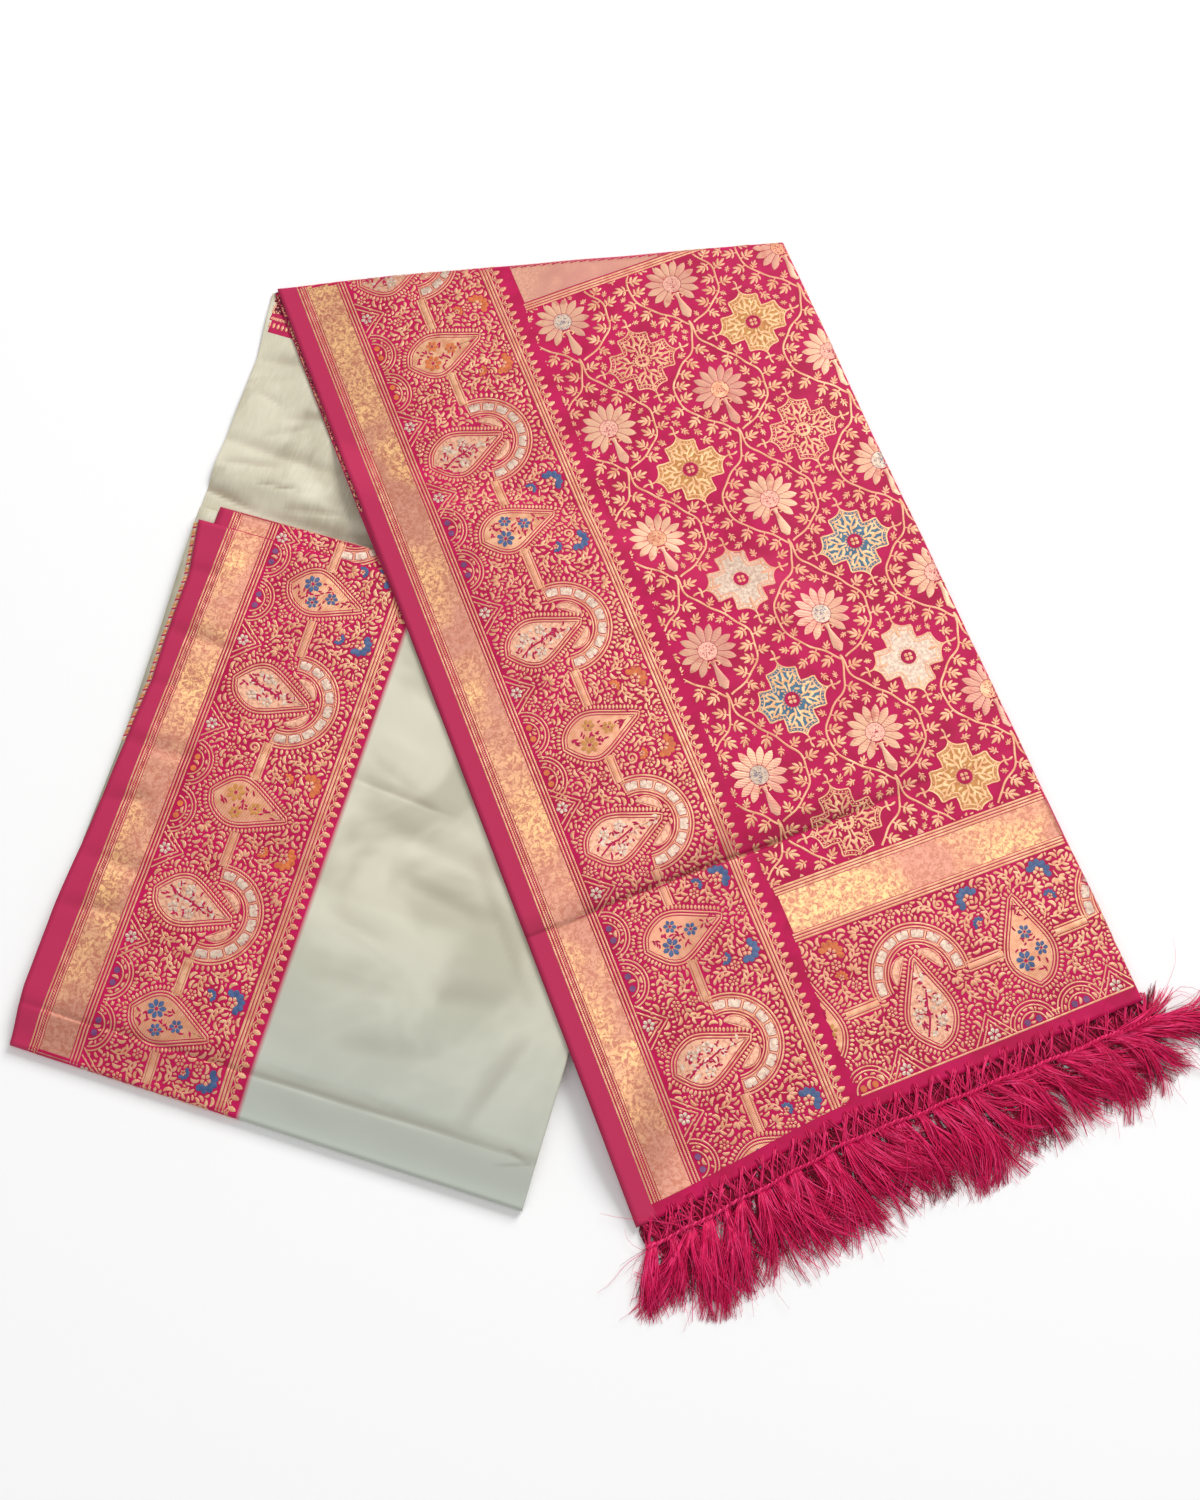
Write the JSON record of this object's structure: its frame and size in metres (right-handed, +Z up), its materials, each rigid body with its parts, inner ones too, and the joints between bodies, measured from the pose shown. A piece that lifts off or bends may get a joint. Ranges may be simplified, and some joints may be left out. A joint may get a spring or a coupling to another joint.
{
  "type": "folded brocade sari with tasselled end",
  "caption": "Sari folded in half lengthwise and laid flat in a V: magenta and gold brocade end piece with tassels over a cream stretch and a flat folded packet.",
  "frame": {"origin": "centre of the footprint on the surface that the folded cloth lies on", "axes": "+Z up from the surface; +Y towards the slanting fold at the top of the V; +X towards the end piece's tassels' right end"},
  "size_m": [1.2024, 1.1696, 0.0235],
  "materials": {
    "cream_silk": "plain cream silk with a soft sheen",
    "brocade_silk": "magenta silk with rose-gold zari brocade and coloured meena flowers",
    "rose_silk": "plain rose silk selvage",
    "fringe_silk": "crimson silk floss, knotted and tasselled"
  },
  "bodies": {
    "root": {"body_back": "cream_silk", "body_folds": "cream_silk", "body_second": "brocade_silk", "body_face": "brocade_silk", "pallu_under_half": "rose_silk", "pallu_face": "brocade_silk", "fringe_under": "fringe_silk", "fringe_face": "fringe_silk"}
  },
  "joints": []
}
